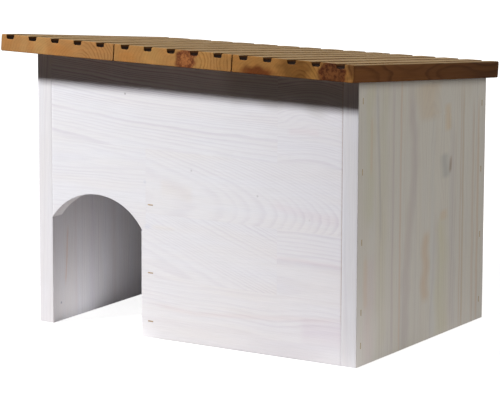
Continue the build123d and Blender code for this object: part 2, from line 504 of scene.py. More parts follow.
def glazedPineFinish():
    v = glazeValues
    f = Finish("glazedPine")
    grain = f.attribute("grain", "Vector")
    x, y, z = (f.houseAxis(i) for i in range(3))
    front = f.fit(y, 2.0, 1.0)  # 1 on the house's front face, 0 more than 2 mm behind it
    wander, rings = v["lineWander"]
    count = f.math("ADD", f.attribute("ring"), f.times(f.noise(grain, *wander), rings))
    pulse = f.ramp(f.math("FRACT", count), v["ring"])
    # Grain, and painted shade: the rings on the front grow darker in the eave's shadow
    low, high, most = v["eaveShadowGrain"]
    top = f.math("MULTIPLY_ADD", front, f.fit(z, low, high, 0.0, most - 1), 1.0)
    strong = f.times(f.fit(f.random(count), *v["lineVariety"]), f.attribute("lines"), top)
    strong = f.times(strong, f.pattern(grain, v["linePlaces"]))
    colour = f.mix(f.pattern(grain, v["thinPlaces"]), v["glaze"], v["thin"])
    colour = f.mix(f.times(pulse, strong, v["lineStrength"]), colour, v["line"])
    fibre = f.noise(grain, *v["fibre"])
    flecks = f.pattern(grain, v["flecks"])
    colour = f.shade(colour, f.math("SUBTRACT", f.fit(fibre, *v["fibreShade"]), flecks))
    # Stains, and painted shade on the front: the eave's shadow darker at its right, and the whole front
    # darker towards its right side
    colour = f.mix(1.0, colour, f.attribute("stainAndShade", "Vector"), "MULTIPLY")
    colour = f.mix(f.fit(f.attribute("edge"), *v["joint"]), colour, v["jointColour"])
    for where, radius, paint, strength in v["dots"]:
        colour = f.mix(f.times(f.spot(where, radius), strength), colour, paint)
    # Painted shade of the gap at the right wall's edge, a dark line over bare wood colour
    aside = f.math("ABSOLUTE", f.math("SUBTRACT", x, seamValues["x"]))
    seam = f.times(f.fit(aside, *seamValues["halfWidth"]), f.fit(z, *seamValues["from"]), front)
    seam = f.times(seam, f.pattern(grain, seamValues["breaks"]))
    colour = f.mix(seam, colour, seamValues["colour"])
    fibreShare, ringShare = v["reliefShares"]
    height = f.math("ADD", f.times(fibre, fibreShare), f.times(pulse, ringShare))
    return f.surface(colour, f.fit(fibre, *v["roughness"]), v["sheen"], height, *v["relief"])


glazedPine = glazedPineFinish()
print("glazed pine finish made")

# Front wall. A stave's area is x from and to, then z from and to. Its ridge is the place where the pith
# line starts, its level there, its rise in 100 mm and its sag over the square of that. A knot is its
# place along and across, its radius and how far it draws the grain in; a bump its place, reach and
# height. Noses are the places where the rings of a stave come round to the face.
frontWallValues = {
    "rounding": 0.2,
    "grain": "first",
    "seed": 5,
    "stepAlong": 3.2,  # size of the faces
    "stepAcross": 1.7,
    "glueLines": (66.0, 136.0, 205.0),
    "fingerJoints": (140.0, 304.0),
    "opening": {"width": 116.5, "crown": 149.0, "radius": 70.0, "centre": 58.0, "nick": 0.8},
    "archLevel": 156.0,  # level line over the arch
    "staves": [
        {"area": (18, 304, 205, 301), "ridge": (200, 196, 0, 2.0), "pithDepth": 46, "ringWidth": 2.25,
         "lines": 1.1},
        {"area": (304, 382, 205, 301), "ridge": (345, 190, 0, -3.0), "pithDepth": 40, "ringWidth": 2.3,
         "wobble": 2.0, "knots": [(330, 250, 11, 0.85)], "bumps": [(350, 28, 7)]},
        {"area": (17, 140, 112, 205), "ridge": (60, 188, 0, 0), "pithDepth": 30, "ringWidth": 2.4,
         "knots": [(60, 190, 7, 0.6)], "lines": 0.6},
        {"area": (140, 382, 136, 205), "ridge": (150, 150, 0, 0), "pithDepth": 60, "taper": 0.168,
         "wobble": 2.2, "noses": [0, 60, 120, 160, 219, 248, 260, 277, 296, 308, 320, *range(331, 531, 10)],
         "lines": 0.85},
        {"area": (134, 304, 66, 136), "ridge": (175, 78, -33, 0), "pithDepth": 24, "taper": 0.03,
         "ringWidth": 3.0, "lines": 0.75},
        {"area": (304, 382, 66, 136), "ridge": (318, 78, 3, -2), "pithDepth": 34, "ringWidth": 4.2,
         "knots": [(318, 77, 8, 0.8)], "wobble": 1.5},
        {"area": (134, 382, 0, 66), "ridge": (200, 6, 2, 1.5), "pithDepth": 38, "ringWidth": 4.0,
         "wobble": 2.0, "lines": 0.6},
    ],
    "fall": (230.0, 382.0, (0.955, 0.945, 0.955)),  # painted shade: from and to these x the front gets this much darker
    "stains": [
        # Painted shade: this first one darkens the right part of the eave's shadow; the rest are stains
        ([(240, 287), (330, 284), (420, 278)], 17, (0.76, 0.75, 0.71), 1.0),
        ([(318, 239), (354, 241)], 4, (0.97, 0.90, 0.91), 0.45),
        ([(160, 166), (198, 160)], 8, (1.0, 0.95, 0.88), 0.4),
        ([(150, 122), (176, 121)], 2.2, (1.0, 0.96, 0.90), 0.45),
        ([(138, 121), (146, 121)], 2.4, (0.88, 0.91, 0.97), 0.7),
        ([(335, 34), (400, 30)], 12, (0.93, 0.88, 0.93), 0.6),
        ([(150, 37), (205, 33), (378, 47)], 2.6, (0.97, 0.92, 0.91), 0.6),
        ([(304, 106), (380, 104)], 2.2, (0.97, 0.90, 0.91), 0.5),
        ([(300, 160), (378, 150)], 5, (0.98, 0.93, 0.94), 0.6),
    ],
}


# Front wall as a flat mesh. Over the entrance, rows run between the arch, a circle whose centre
# lies in the opening, and a level line; beside it they are level.
def frontWallFlat():
    v = frontWallValues
    hole = v["opening"]
    jamb = panel + hole["width"]
    reach = jamb + hole["nick"]
    middle = panel + hole["centre"]
    centreHeight = hole["crown"] - hole["radius"]

    def arch(x):
        return centreHeight + np.sqrt(hole["radius"] ** 2 - (x - middle) ** 2)

    archEnd = float(arch(reach))
    nickFoot = archEnd - hole["nick"]
    level = v["archLevel"]
    top = houseValues["frontHeight"]
    glueLow, glueMiddle, glueHigh = v["glueLines"]
    lowRows = spread([0.0, glueLow, nickFoot, archEnd], v["stepAcross"])
    archRows = spread([archEnd, glueMiddle, level], v["stepAcross"])
    highRows = spread([level, glueHigh, top], v["stepAcross"])
    overColumns = spread([panel, middle, reach], v["stepAlong"] * 0.7)
    besideColumns = spread([reach, *v["fingerJoints"], innerRight], v["stepAlong"])

    def overArch(x, z):
        share = (z - archEnd) / (level - archEnd)
        return x, arch(x) + share * (level - arch(x))

    def plain(x, z):
        return x, z

    jambRows = lowRows[lowRows < (nickFoot + archEnd) / 2]
    grids = [
        gridOfQuads(overColumns, archRows, overArch),
        gridOfQuads(overColumns, highRows, plain),
        gridOfQuads(besideColumns, np.concatenate([lowRows, archRows[1:], highRows[1:]]), plain),
        gridOfQuads(np.array([jamb, reach]), jambRows, plain),
    ]
    return joinGrids(grids)


# Above the glue lines the panel's top is planed to the roof, so levels there fall with the depth
def frontWallPlace(x, z, y):
    hinge = frontWallValues["glueLines"][-1]
    top = houseValues["frontHeight"]
    above = np.clip((z - hinge) / (top - hinge), 0, 1)
    return x, y, z - above * slope * y


makePanel("frontWall", frontWallFlat(), frontWallValues, frontWallPlace, "front_wall")
print("front wall made")

# Side walls: upright grain, so an area is y from, to and z from, to, and a ridge runs up the wall
rightWallValues = {
    "rounding": 0.2,
    "grain": "second",
    "seed": 31,
    "stepAlong": 5.0,
    "stepAcross": 1.5,
    "glueLines": (36.0, 66.0, 100.0, 137.0, 157.0, 200.0, 240.0),
    "staves": [
        {"area": (0, 36, 0, 301), "ridge": (0, -20, 0, 0), "pithDepth": 30, "ringWidth": 2.6, "lines": 0.45},
        {"area": (36, 66, 0, 301), "ridge": (0, 20, 2, 0), "pithDepth": -40, "ringWidth": 2.8, "lines": 0.7},
        {"area": (66, 100, 0, 301), "ridge": (0, 130, 0, 0), "pithDepth": 36, "ringWidth": 3.2,
         "lines": 0.7},
        {"area": (100, 137, 0, 301), "ridge": (100, 110, 4, -2), "pithDepth": 30, "ringWidth": 3.4,
         "lines": 0.7},
        {"area": (137, 157, 0, 118), "ridge": (0, 100, 0, 0), "pithDepth": 30, "ringWidth": 2.5,
         "lines": 0.8},
        {"area": (137, 200, 240, 301), "ridge": (260, 160, 0, 0), "pithDepth": 22, "taper": 0.25,
         "ringWidth": 3.0, "lines": 0.45},
        {"area": (157, 200, 0, 240), "ridge": (185, 170, 0, 0), "pithDepth": 30, "ringWidth": 2.8,
         "knots": [(185, 188, 13, 0.85)], "wobble": 1.5, "lines": 0.8},
        {"area": (137, 157, 118, 240), "ridge": (0, 200, 0, 0), "pithDepth": 40, "ringWidth": 3.0,
         "lines": 0.6},
        {"area": (200, 281, 0, 301), "ridge": (0, 330, 0, 0), "pithDepth": 40, "ringWidth": 3.1,
         "lines": 1.0},
    ],
    "backStains": [([(0, 0), (300, 0)], 0.8, (0.85, 0.85, 0.86), 1.0)],
    "stains": [
        ([(0, 0), (300, 0)], 0.8, (0.85, 0.85, 0.86), 1.0),
        ([(150, 24), (290, 24)], 10, (0.93, 0.94, 0.80), 0.48),
        ([(0, 24), (110, 26)], 10, (1.0, 0.92, 0.98), 0.48),
        ([(200, 28), (256, 28)], 2.5, (1.0, 0.86, 0.80), 0.48),
        ([(60, 17), (112, 17)], 4.5, (1.0, 0.88, 0.76), 0.41),
        ([(130, 49), (190, 46), (285, 38)], 2.2, (0.80, 0.80, 0.86), 0.61),
        ([(0, 50), (290, 53)], 9, (0.93, 0.93, 0.82), 0.41),
        ([(0, 74), (290, 74)], 2.4, (0.86, 0.82, 0.88), 0.61),
        ([(0, 90), (290, 90)], 1.8, (0.92, 0.78, 0.72), 0.61),
        ([(0, 102), (90, 105), (130, 110), (180, 120), (220, 120), (270, 113)], 8, (0.82, 0.77, 0.82), 0.58),
        ([(240, 152), (278, 152)], 22, (0.96, 0.84, 0.72), 0.54),
        ([(45, 146), (116, 146)], 8, (0.93, 0.76, 0.62), 0.58),
        ([(0, 162), (250, 162)], 5, (0.94, 0.96, 1.0), 0.48),
        ([(0, 182), (126, 182)], 12, (0.94, 0.93, 0.76), 0.54),
        ([(222, 193), (250, 192)], 7, (1.0, 0.84, 0.66), 0.54),
        ([(127, 186), (135, 186)], 8, (0.98, 0.84, 0.70), 0.61),
        ([(0, 207), (220, 207)], 7, (0.88, 0.86, 0.90), 0.54),
        ([(0, 224), (260, 224)], 1.6, (0.86, 0.74, 0.66), 0.54),
        ([(0, 230), (260, 229)], 2.0, (0.80, 0.68, 0.58), 0.61),
        ([(0, 254), (240, 252)], 2.6, (0.86, 0.76, 0.72), 0.54),
        ([(0, 265), (240, 264)], 2.4, (0.90, 0.74, 0.64), 0.54),
        ([(172, 188), (197, 188)], 8.5, (0.76, 0.79, 0.83), 0.8),
        ([(177, 200), (190, 201)], 2.8, (0.56, 0.44, 0.38), 0.7),
    ],
}


sideJoints = (118.0, 240.0)  # heights of the finger joints in the side walls


# Side wall as a flat mesh: above the upper finger joint, levels fall to the back in step with their
# height, until the top follows the roof
def sideWallFlat(values, x):
    columns = spread([0.0, *values["glueLines"], houseValues["depth"]], values["stepAcross"])
    top = houseValues["frontHeight"]
    rows = spread([0.0, *sideJoints, top], values["stepAlong"])

    def shape(y, z):
        above = np.clip((z - sideJoints[-1]) / (top - sideJoints[-1]), 0, 1)
        return y, z - above * (slope * y + roofSink(x, y))

    return gridOfQuads(columns, rows, shape)


makePanel("rightWall", sideWallFlat(rightWallValues, houseValues["width"]), rightWallValues,
          lambda y, z, d: (houseValues["width"] - d, y, z), "right_wall")

leftWallValues = {
    "rounding": 0.2,
    "grain": "second",
    "seed": 57,
    "stepAlong": 6.0,
    "stepAcross": 1.8,
    "glueLines": (45.0, 90.0, 148.0, 196.0, 240.0),
    "staves": [
        {"area": (0, 45, 0, 301), "ridge": (0, -30, 0, 0), "pithDepth": 34, "ringWidth": 2.4, "lines": 0.4,
         "tone": (0.97, 0.965, 0.965)},
        {"area": (45, 90, 0, 301), "ridge": (0, 20, 3, 0), "pithDepth": 40, "ringWidth": 1.9, "lines": 1.3},
        {"area": (90, 148, 0, 301), "ridge": (120, 190, 0, 0), "pithDepth": 36, "ringWidth": 2.1,
         "lines": 1.3},
        {"area": (148, 196, 0, 301), "ridge": (100, 160, 4, -2), "pithDepth": 30, "ringWidth": 3.2,
         "knots": [(210, 170, 9, 0.8)]},
        {"area": (196, 240, 0, 301), "ridge": (0, 280, 0, 0), "pithDepth": 30, "ringWidth": 2.5},
        {"area": (240, 281, 0, 301), "ridge": (0, 200, 0, 0), "pithDepth": 34, "ringWidth": 2.8},
    ],
    "stains": [
        ([(0, 30), (290, 32)], 4, (0.94, 0.88, 0.84), 0.7),
        ([(0, 100), (290, 96)], 6, (0.93, 0.94, 0.82), 0.6),
        ([(0, 176), (190, 172)], 3, (0.90, 0.84, 0.82), 0.7),
        ([(40, 222), (250, 224)], 7, (0.96, 0.88, 0.90), 0.7),
    ],
    "backStains": [
        ([(42, 24), (100, 28)], 1.2, (0.96, 0.82, 0.74), 0.9),
        ([(0, 44), (160, 43)], 2.6, (0.94, 0.88, 0.87), 0.35),
        ([(0, 75), (200, 76)], 5, (0.93, 0.90, 0.94), 0.5),
        ([(0, 118), (200, 118)], 4, (0.90, 0.86, 0.86), 0.4),
    ],
}
makePanel("leftWall", sideWallFlat(leftWallValues, 0.0), leftWallValues,
          lambda y, z, d: (d, y, z), "left_wall")
print("side walls made")

backWallValues = {
    "rounding": 0.5,
    "grain": "first",
    "seed": 83,
    "stepAlong": 4.0,
    "stepAcross": 2.0,
    "glueLines": (62.0, 128.0, 196.0),
    "fingerJoints": (130.0, 210.0, 260.0),
    "staves": [
        {"area": (18, 210, 196, 301), "ridge": (120, 170, 3, 1), "pithDepth": 44, "ringWidth": 2.4},
        {"area": (210, 382, 196, 301), "ridge": (300, 240, -4, 1), "pithDepth": 30, "taper": 0.12,
         "ringWidth": 3.0, "wobble": 2.0},
        {"area": (18, 130, 128, 196), "ridge": (60, 150, 0, 0), "pithDepth": 36, "ringWidth": 2.6,
         "lines": 0.8},
        {"area": (130, 382, 128, 196), "ridge": (200, 165, 2, 1), "pithDepth": 46, "taper": -0.15,
         "ringWidth": 3.2, "wobble": 2.0, "knots": [(300, 160, 9, 0.85)]},
        {"area": (18, 260, 62, 128), "ridge": (100, 30, 3, 0), "pithDepth": 30, "ringWidth": 2.8},
        {"area": (260, 382, 62, 128), "ridge": (300, 100, -3, 0), "pithDepth": 30, "ringWidth": 2.6,
         "lines": 0.8},
        {"area": (18, 382, 0, 62), "ridge": (200, 20, 2, 1.5), "pithDepth": 38, "ringWidth": 3.4,
         "wobble": 3.0},
    ],
    "stains": [
        ([(120, 180), (300, 176)], 6, (0.97, 0.90, 0.90), 0.6),
        ([(60, 40), (240, 44)], 3, (0.96, 0.90, 0.86), 0.8),
        ([(290, 160), (310, 160)], 6, (0.72, 0.70, 0.74), 0.9),
    ],
}


# Back wall as a flat mesh: an even grid of x and z
def backWallFlat():
    v = backWallValues
    columns = spread([panel, *v["fingerJoints"], innerRight], v["stepAlong"])
    rows = spread([0.0, *v["glueLines"], backTop], v["stepAcross"])
    return gridOfQuads(columns, rows, lambda x, z: (x, z))


# Above the glue lines its levels rise to the roof's slope, in step with the depth behind its outer face
def backWallPlace(x, z, d):
    hinge = backWallValues["glueLines"][-1]
    above = np.clip((z - hinge) / (backTop - hinge), 0, 1)
    return x, houseValues["depth"] - d, z + above * (slope * d - roofSink(x, houseValues["depth"]))


makePanel("backWall", backWallFlat(), backWallValues, backWallPlace, "back_wall")

partitionValues = {
    "rounding": 0.5,
    "grain": "first",
    "seed": 97,
    "stepAlong": 4.0,
    "stepAcross": 2.0,
    "glueLines": (62.0, 121.0),
    "left": 137.0,
    "back": 142.0,
    "height": 165.0,
    "staves": [
        {"area": (18, 142, 0, 62), "ridge": (80, 90, 0, 0), "pithDepth": 36, "ringWidth": 2.6},
        {"area": (18, 142, 62, 121), "ridge": (80, 80, 2, 1), "pithDepth": 40, "taper": 0.14,
         "ringWidth": 3.0, "wobble": 2.0},
        {"area": (18, 142, 121, 166), "ridge": (80, 100, 0, 0), "pithDepth": 30, "ringWidth": 2.5},
    ],
}


# Partition as a flat mesh: an even grid of y and z
def partitionFlat():
    v = partitionValues
    columns = spread([panel, v["back"]], v["stepAlong"])
    rows = spread([0.0, *v["glueLines"], v["height"]], v["stepAcross"])
    return gridOfQuads(columns, rows, lambda y, z: (y, z))


makePanel("partitionPanel", partitionFlat(), partitionValues,
          lambda y, z, d: (partitionValues["left"] + d, y, z), "partition")
print("back wall and partition made")

boardValues = {
    "width": 145.0,
    "thickness": 18.0,
    "gap": 1.2,
    "corner": 1.4,
    "overhangLeft": 26.0,
    "overhangFront": 31.5,
    "overhangBack": 5.5,
    "grooves": 5,
    "grooveWidth": 10.4,
    "grooveFloor": 8.6,
    "grooveDepth": 4.9,
    "floorRounding": 1.8,
    "ribRounding": 0.8,
    "rounding": 0.5,
    "columns": 100,  # beside those of the outline's own points
    "rows": 8,  # faces from the underside to the top
    "layers": 63,  # faces along the board
    # Each board's name, node, sides, first and last groove, pith as x and z in its end, ring width, knot as
    # x, z and radius, tone, and stains of its end as x, z, half width, half height, colour and strength
    "boards": [
        {"name": "boardLeft", "node": "roof_board_left", "sides": (0.0, 146.1),
         "grooves": (11.7, 128.9), "pith": (106.0, -2.0), "ringWidth": 3.7, "knot": (-40.0, 8.0, 4.0),
         "tone": (1.0, 1.0, 1.0),
         "stains": [(52, 10, 9, 14, (1.12, 1.28, 1.35), 0.7), (78, 6, 16, 6, (1.05, 0.90, 0.72), 0.6),
                    (30, 9, 5, 12, (1.08, 1.2, 1.3), 0.6), (8, 8, 6, 8, (0.95, 0.85, 0.72), 0.5)]},
        {"name": "boardMiddle", "node": "roof_board_middle", "sides": (0.7, 146.6),
         "grooves": (14.0, 129.4), "pith": (89.0, 4.0), "ringWidth": 3.8, "knot": (90.0, 8.0, 12.0),
         "tone": (0.97, 0.98, 0.92),
         "stains": [(48, 8, 12, 12, (1.1, 1.2, 1.2), 0.6), (16, 5, 12, 7, (1.05, 0.9, 0.75), 0.6),
                    (112, 8, 8, 12, (1.1, 1.15, 1.05), 0.5), (137, 9, 9, 12, (0.80, 0.78, 0.72), 0.6)]},
        {"name": "boardRight", "node": "roof_board_right", "sides": (1.2, 145.0),
         "grooves": (14.2, 129.2), "pith": (79.0, -5.0), "ringWidth": 4.0, "knot": (120.0, 6.0, 15.5),
         "tone": (0.80, 0.76, 0.62),
         "stains": [(31, 0, 20, 9, (0.42, 0.27, 0.28), 1.0), (76, 9, 20, 14, (0.50, 0.46, 0.42), 0.9),
                    (98, 5, 4, 9, (1.2, 1.25, 1.1), 0.6), (120, 8, 16, 14, (0.50, 0.52, 0.62), 0.95),
                    (142, 14, 5, 9, (0.45, 0.42, 0.50), 1.0)]},
    ],
}


# Corners of an outline turned into arcs: each starts and ends where its circle touches the two
# sides, a tangent length, radius times the tangent of half the turn, away from the corner
def roundedOutline(points, radii, steps):
    into = points - np.roll(points, 1, 0)
    into /= np.linalg.norm(into, axis=1)[:, None]
    out = np.roll(into, -1, 0)
    turn = np.arctan2(into[:, 0] * out[:, 1] - into[:, 1] * out[:, 0], np.sum(into * out, 1))
    start = points - into * (radii * np.tan(np.abs(turn) / 2))[:, None]
    left = np.stack([-into[:, 1], into[:, 0]], 1) * np.sign(turn)[:, None]
    angle = turn[:, None] * np.linspace(0, 1, steps)
    sideways = left[:, None] * (1 - np.cos(angle))[..., None]
    forwards = into[:, None] * np.sin(np.abs(angle))[..., None]
    return (start[:, None] + radii[:, None, None] * (sideways + forwards)).reshape(-1, 2)


# End of a board as a flat mesh: columns reach from the bottom outline, rounded at its two sides, to the
# grooved top one
def boardFlat(board):
    v = boardValues
    left, right = board["sides"]
    thickness, corner = v["thickness"], v["corner"]
    middles = np.linspace(*board["grooves"], v["grooves"])
    floor = thickness - v["grooveDepth"]
    halfTop, halfFloor = v["grooveWidth"] / 2, v["grooveFloor"] / 2
    grooveX = (middles[:, None] + np.array([-halfTop, -halfFloor, halfFloor, halfTop])).ravel()
    grooveZ = np.tile([thickness, floor, floor, thickness], v["grooves"])
    ribRounding, floorRounding = v["ribRounding"], v["floorRounding"]
    grooveRadii = np.tile([ribRounding, floorRounding, floorRounding, ribRounding], v["grooves"])
    x = np.concatenate([[left, left], grooveX, [right, right]])
    z = np.concatenate([[0, thickness], grooveZ, [thickness, 0]])
    radii = np.concatenate([[corner] * 2, grooveRadii, [corner] * 2])
    arcPoints = 5
    top = roundedOutline(np.column_stack([x, z]), radii, arcPoints)[arcPoints:-arcPoints]
    even = np.linspace(left + corner, right - corner, v["columns"])
    columns = np.unique(np.concatenate([np.round(top[:, 0], 4), even]))
    closest = 0.03
    columns = columns[np.concatenate([[True], np.diff(columns) > closest])]
    topZ = np.interp(columns, top[:, 0], top[:, 1])
    fromCorner = corner - np.clip(np.minimum(columns - left, right - columns), 0, corner)
    bottomZ = corner - np.sqrt(corner**2 - fromCorner**2)

    def shape(x, share):
        low = np.interp(x, columns, bottomZ)
        high = np.interp(x, columns, topZ)
        return x, low + share * (high - low)

    return gridOfQuads(columns, np.linspace(0, 1, v["rows"] + 1), shape)


# Rings and knots of all boards: noise by its height and length, lengths in millimetres
ringValues = {
    "wobble": (1.6, 40.0),
    "sway": (5.0, 260.0),
    "squash": (1.2, 40.0),  # rings left of the pith are drawn out sideways, up to this much over this far
    "pithFall": 0.010,  # the pith sinks by this share of the length
    "faintSide": (0.35, 10.0),  # left of the pith the rings show this strongly, turning over this width
    "knotLean": 0.02,
    "knotRim": (1.6, 12.0),
    "knotEdge": 2.5,  # width over which a knot begins
    "knotEnd": (52.0, 40.0),  # along the board a knot ends here, fading over this far before
    "bulge": (1.5, 1.5),  # rings added round a knot, and its reach in the knot's radii
    "bulgeEnd": (90.0, 60.0),
    "stainRim": (0.15, 9.0),
    "stainEdge": (1.25, 0.6),  # a stain ends at this share of its half sizes, fading over this much
    "side": 3.0,  # nearer to a side than this there is no groove
    "grainApart": (400.0, 60.0),  # steps along and across from one board's grain to the next one's
}


# Rings of a board, seen whole on its ends: the distance from the pith, drawn out in wide waves, over
# the ring width, plus a bulge round the knot that falls off as the exponential of minus the squared
# distance. A stain fades with the distance from its middle over its half sizes.
def boardAttributes(corners, board, length, seed):
    v = ringValues
    x, z, along = corners[..., 0], corners[..., 1], corners[..., 2]
    pithX, pithZ = board["pith"]
    knotX, knotZ, knotSize = board["knot"]
    wobble, wobbleLength = v["wobble"]
    sway, swayLength = v["sway"]
    squash, squashWidth = v["squash"]
    aside = x - pithX - sway * drift(seed + 1, swayLength, along)
    flattened = 1 + squash * np.clip((pithX - x) / squashWidth, 0, 1)
    ring = np.hypot(aside, flattened * (z - pithZ + v["pithFall"] * along))
    ring = ring + wobble * drift(seed, wobbleLength, x, z * 2, along * 0.08)
    tone = np.array(board["tone"]) * np.ones(x.shape + (1,))
    uneven, unevenLength = v["stainRim"]
    stainEnd, stainFade = v["stainEdge"]
    for middleX, middleZ, halfX, halfZ, paint, strength in board["stains"]:
        away = np.hypot((x - middleX) / halfX, (z - middleZ) / halfZ)
        away = away + uneven * drift(seed + 5, unevenLength, x, z)
        amount = (strength * np.clip((stainEnd - away) / stainFade, 0, 1))[..., None]
        tone = tone * (1 - amount + amount * np.array(paint))
    lean = v["knotLean"] * along
    rim, rimLength = v["knotRim"]
    toKnot = np.hypot((x - knotX - lean) * 0.95, z - knotZ + lean) + rim * drift(seed + 2, rimLength, x, z)
    knotEnd, knotFade = v["knotEnd"]
    knot = np.clip((knotSize - toKnot) / v["knotEdge"] + 0.5, 0, 1)
    knot = knot * np.clip((knotEnd - along) / knotFade, 0, 1)
    bulge, bulgeReach = v["bulge"]
    bulgeEnd, bulgeFade = v["bulgeEnd"]
    bulge = bulge * np.exp(-((toKnot / (knotSize * bulgeReach)) ** 2))
    bulge = bulge * np.clip((bulgeEnd - along) / bulgeFade, 0, 1)
    faint, turning = v["faintSide"]
    nearEnd = 0.6 * boardValues["rounding"]
    upright = np.ptp(along, axis=1) < boardValues["rounding"] / 2
    outermost = np.abs(along.mean(1) - length / 2) > length / 2 - nearEnd
    toSide = np.minimum(x - board["sides"][0], board["sides"][1] - x)
    under = np.where(toSide > v["side"], boardValues["thickness"] - z, 0)
    stepAlong, stepAcross = v["grainApart"]
    return {
        "ring": ring / board["ringWidth"] + bulge,
        "grain": np.stack([along + seed * stepAlong, x + seed * stepAcross, z], -1),
        "knot": knot,
        "knotRing": toKnot / knotSize,
        "lines": faint + (1 - faint) * np.clip((x - pithX) / turning + 0.5, 0, 1),
        "cut": np.repeat((upright & outermost)[:, None], 4, 1).astype(float),
        "hollow": np.clip(under / boardValues["grooveDepth"], 0, 1.6),
        "tone": tone,
    }


# The boards are bright oiled wood on their cut ends, dark on their sides, pale on the ribs, with a painted
# highlight and wear at the rib edges and painted shade in the grooves
larchValues = {
    "end": (0.37, 0.190, 0.068),
    "endLine": (0.17, 0.070, 0.022),
    "endBlotch": (0.55, 0.24, 0.075),
    "endPore": (0.30, 0.14, 0.05),
    "oiled": (0.205, 0.084, 0.032),
    "oiledLine": (0.085, 0.031, 0.011),
    "oiledBlotch": (0.26, 0.110, 0.036),
    "fade": (-30.0, 290.0, 1.0, 0.45),  # from and to these y the oiled sides go from one share to the other
    "weathered": (0.27, 0.172, 0.075),  # top of the ribs
    "weatheredLine": (0.16, 0.085, 0.035),
    "rib": (0.60, 0.45, 0.26),  # edges of the ribs: a painted highlight, with wear
    "shoulder": (0.15, 0.060, 0.016),  # just under them: painted shade where the grooves begin
    # painted shade deep in the grooves, near black
    "groove": (0.022, 0.009, 0.004),
    "knotRim": (0.105, 0.028, 0.014),
    "knotHeart": (0.34, 0.125, 0.045),
    # One ring from its start to the next one: place and darkness
    "ring": [(0.0, 0.1), (0.5, 0.15), (0.82, 1.0), (0.93, 0.8), (1.0, 0.1)],
    "ringVariety": (0, 1, 0.45, 1.0),
    "ringWander": (((0.012, 0.12, 0.12), 2), 0.8),
    # How strongly the lines show on the ends, on the oiled sides and on top
    "lineStrengths": (0.8, 0.8, 0.45),
    "fibre": ((0.02, 1.3, 1.3), 5, 0.65),
    "fibreShade": (0.25, 0.75, 0.86, 1.10),
    "pores": (((0.5, 2.2, 2.2), 3, 0.6), (0.35, 0.75, 0.25, 0.0)),
    "blotches": ((0.01, 0.07, 0.14), 3),
    "ribHighlightAndWear": (((0.02, 0.2, 0.2), 2), (0.35, 0.65, 0.3, 1.0)),
    "speckles": (((0.1, 0.32, 0.32), 4, 0.7), (0.35, 0.65, -0.6, 0.6)),
    "roughness": (0.3, 0.7, 0.68, 0.52),  # by the fibre
    "sheen": 0.02,
    "relief": (0.7, 0.00012),  # strength, and height in metres
    "reliefShares": (0.8, 0.6),  # of the fibre and of the rings
    # Ranges of the attribute hollow, 0 on top of the ribs and 1 on a groove's floor
    "topUntil": (0.5, 0.02),
    "ribFrom": (0.0, 0.03),
    "ribUntil": (0.16, 0.06),
    "shoulderFrom": (0.06, 0.16),
    "grooveFrom": (0.2, 0.6, 0.0, 0.95),
}


# Colour of a board's top, sides and grooves, by how deep a place lies and how far it looks upwards:
# painted highlight with wear on the rib edges, painted shade down into the grooves
def boardFaceColour(f, strong, grain, blotch):
    v = larchValues
    onSides, onTop = v["lineStrengths"][1:]
    oiled = f.mix(f.times(strong, onSides), v["oiled"], v["oiledLine"])
    oiled = f.mix(f.fit(blotch, 0.5, 0.75, 0.0, 0.5), oiled, v["oiledBlotch"])
    oiled = f.shade(oiled, f.fit(f.houseAxis(1), *v["fade"]))
    hollow = f.attribute("hollow")
    normal = f.node("ShaderNodeNewGeometry").outputs["Normal"]
    up = f.node("ShaderNodeSeparateXYZ", {0: normal}).outputs["Z"]
    topFace = f.times(f.fit(up, 0.3, 0.9), f.fit(hollow, *v["topUntil"]))
    colour = f.mix(topFace, oiled, f.mix(f.times(strong, onTop), v["weathered"], v["weatheredLine"]))
    # Painted highlight, with wear: the rounded rib edges turn pale
    edge = f.times(f.fit(hollow, *v["ribFrom"]), f.fit(hollow, *v["ribUntil"]), f.fit(up, 0.1, 0.4))
    colour = f.mix(f.times(edge, f.pattern(grain, v["ribHighlightAndWear"])), colour, v["rib"])
    # Painted shade: the grooves darken with depth, to near black on their floors
    inside = f.fit(up, -0.2, 0.05)  # 0 on the underside
    colour = f.mix(f.times(f.fit(hollow, *v["shoulderFrom"]), inside), colour, v["shoulder"])
    return f.mix(f.times(f.fit(hollow, *v["grooveFrom"]), inside), colour, v["groove"])


